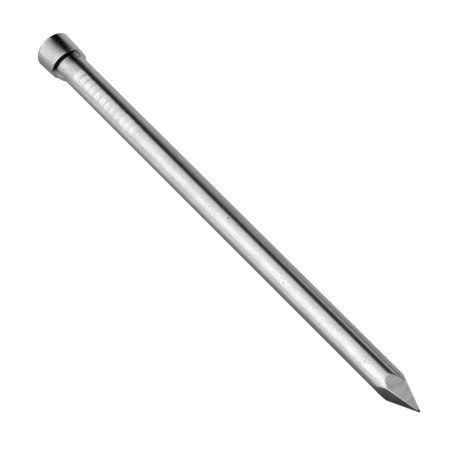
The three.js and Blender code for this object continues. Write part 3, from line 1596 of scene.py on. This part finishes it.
        # The nail sees painted shade: an emission that darkens towards the nail's foot.
        tree.links.new(self._shade(tree, half_length), shaded.inputs["Strength"])
        rays = tree.nodes.new("ShaderNodeLightPath")
        choose = tree.nodes.new("ShaderNodeMixShader")
        tree.links.new(rays.outputs["Is Camera Ray"], choose.inputs["Fac"])
        tree.links.new(shaded.outputs["Emission"], choose.inputs[1])
        tree.links.new(shader.outputs["BSDF"], choose.inputs[2])
        tree.links.new(choose.outputs["Shader"], tree.nodes["Material Output"].inputs["Surface"])
        mesh.materials.append(material)
        bpy.context.scene.collection.objects.link(floor)

    def _shade(self, tree: Tree, half_length: float) -> Socket:
        """Works out how bright each place on the floor looks from the nail, with the shade painted on it.

        Args:
            tree: The floor material's node tree.
            half_length: Half the nail's length, in mm.

        Returns:
            The brightness.
        """
        place = tree.nodes.new("ShaderNodeNewGeometry")
        split = tree.nodes.new("ShaderNodeSeparateXYZ")
        tree.links.new(place.outputs["Position"], split.inputs["Vector"])
        x = add_math(tree, "MULTIPLY", split.outputs["X"], 1 / MM)
        y = add_math(tree, "MULTIPLY", split.outputs["Y"], 1 / MM)
        foot = add_ramp(tree, x, -half_length, half_length - self.foot_even, *self.foot_glow[:2])
        lost = add_ramp(tree, x, *self.foot_fade, 0.0, self.foot_glow[2])
        foot = add_math(tree, "SUBTRACT", foot, lost)
        reach = add_ramp(tree, x, *self.shade_span, -self.shade_reach[1], -self.shade_reach[2])
        further = add_ramp(tree, x, *self.head_span, self.head_reach, 0.0)
        reach = add_math(tree, "SUBTRACT", reach, further)
        rise = add_ramp(tree, y, -self.shade_reach[0], reach)
        brighter = add_math(tree, "SUBTRACT", self.open_glow, foot)
        camera_side = add_math(tree, "MULTIPLY_ADD", rise, brighter, foot)
        far_side = add_ramp(tree, y, *self.far_reach, *self.far_glow)
        beside = add_ramp(tree, y, -self.foot_seam, self.foot_seam)
        near = add_mix(tree, beside, camera_side, far_side)
        ends = [half_length + past for past in self.end_reach]
        beyond = add_ramp(tree, add_math(tree, "ABSOLUTE", x), *ends)
        return add_mix(tree, beyond, near, self.end_glow)

    def _light(self) -> None:
        """Lights the nail from a soft tent of panels that run along it."""
        world = bpy.data.worlds.new("studio_tent")
        bpy.context.scene.world = world
        world.use_nodes = True
        tree = world.node_tree
        back = tree.nodes["Background"]
        place = tree.nodes.new("ShaderNodeTexCoord")
        split = tree.nodes.new("ShaderNodeSeparateXYZ")
        tree.links.new(place.outputs["Generated"], split.inputs["Vector"])
        turn = add_math(tree, "ARCTAN2", split.outputs["Z"], split.outputs["Y"])
        roll = add_math(tree, "MULTIPLY", turn, 180 / math.pi)
        panel_group = self._panel_group()
        total = 0.0
        for panel in self.panels:
            node = tree.nodes.new("ShaderNodeGroup")
            node.node_tree = panel_group
            tree.links.new(roll, node.inputs["Roll"])
            tree.links.new(split.outputs["X"], node.inputs["X"])
            for name, start, end, edge in (
                ("Roll", panel.roll_from, panel.roll_to, panel.edge),
                ("X", panel.x_from, panel.x_to, panel.x_edge),
            ):
                node.inputs[f"{name} From Low"].default_value = start - edge / 2
                node.inputs[f"{name} From High"].default_value = start + edge / 2
                node.inputs[f"{name} To Low"].default_value = end - edge / 2
                node.inputs[f"{name} To High"].default_value = end + edge / 2
            total = add_math(tree, "MULTIPLY_ADD", node.outputs["Mask"], panel.brightness, total)
        back.inputs["Color"].default_value = (1.0, 1.0, 1.0, 1.0)
        tree.links.new(total, back.inputs["Strength"])
        bpy.context.scene.view_settings.view_transform = "Standard"

    @staticmethod
    def _panel_group() -> Tree:
        """Builds the mask of one soft-edged panel.

        Returns:
            A group with the output Mask.
        """
        group = GroupMaker("tent_panel")
        mask = 1.0
        for name in ("Roll", "X"):
            value = group.input(name)
            limits = [group.input(f"{name} {end}") for end in ("From Low", "From High", "To Low", "To High")]
            rise = add_ramp(group.tree, value, limits[0], limits[1])
            fall = add_ramp(group.tree, value, limits[2], limits[3])
            stays = add_math(group.tree, "SUBTRACT", 1.0, fall)
            mask = add_math(group.tree, "MULTIPLY", mask, add_math(group.tree, "MULTIPLY", rise, stays))
        group.output("Mask", mask)
        return group.tree


def main() -> None:
    """Builds the nail and its set, in order."""
    logging.basicConfig(level=logging.INFO, format="%(name)s: %(message)s")
    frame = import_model()
    nail = Nail()
    seat = Seat.from_record(frame["record"])
    Studio().build(seat, nail)
    effects = SharedEffects()
    body = nail.build(seat, effects)
    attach(body, "root")
    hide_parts("nail")
    LOG.info("%s: %d points, %d faces", body.name, len(body.data.vertices), len(body.data.polygons))


if __name__ == "__main__":
    main()
